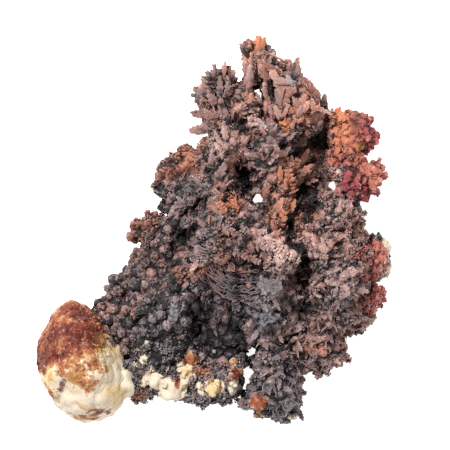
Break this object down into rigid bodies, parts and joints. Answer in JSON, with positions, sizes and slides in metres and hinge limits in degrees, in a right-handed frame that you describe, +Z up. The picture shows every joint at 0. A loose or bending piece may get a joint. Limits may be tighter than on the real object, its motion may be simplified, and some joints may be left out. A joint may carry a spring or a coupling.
{
  "type": "native copper mineral specimen",
  "caption": "Craggy, spongy native copper specimen with leafy crystal sprays, a rusty cream calcite nodule at one corner, a calcite band and red cuprite lumps, lying on its back.",
  "frame": {"origin": "centre of the bounding box, at its bottom, which is the flat face that the specimen rests on", "axes": "+Z up from the resting face, +Y from the foot towards the spire along the specimen's length, +X towards the cuprite lumps"},
  "size_m": [0.0904, 0.0996, 0.037],
  "materials": {
    "mauve_copper": "matte oxidised native copper",
    "brown_copper": "matte oxidised native copper",
    "black_copper": "matte tarnished native copper",
    "calcite": "granular calcite, rust stained on top",
    "cuprite": "earthy red cuprite"
  },
  "bodies": {
    "root": {"copper_trunk": "mauve_copper", "copper_right_mass": "mauve_copper", "copper_right_fan": "brown_copper", "copper_spire": "brown_copper", "copper_left_spray": "brown_copper", "copper_left_shoulder": "brown_copper", "copper_grape_clump": "black_copper", "copper_left_arm": "brown_copper", "copper_foot": "black_copper", "copper_lower_fringe": "brown_copper", "calcite_nodule": "calcite", "calcite_band": "calcite", "cuprite_block": "cuprite", "cuprite_spray": "cuprite", "cuprite_knob": "cuprite", "cuprite_point": "cuprite", "calcite_tips": "calcite"}
  },
  "joints": []
}
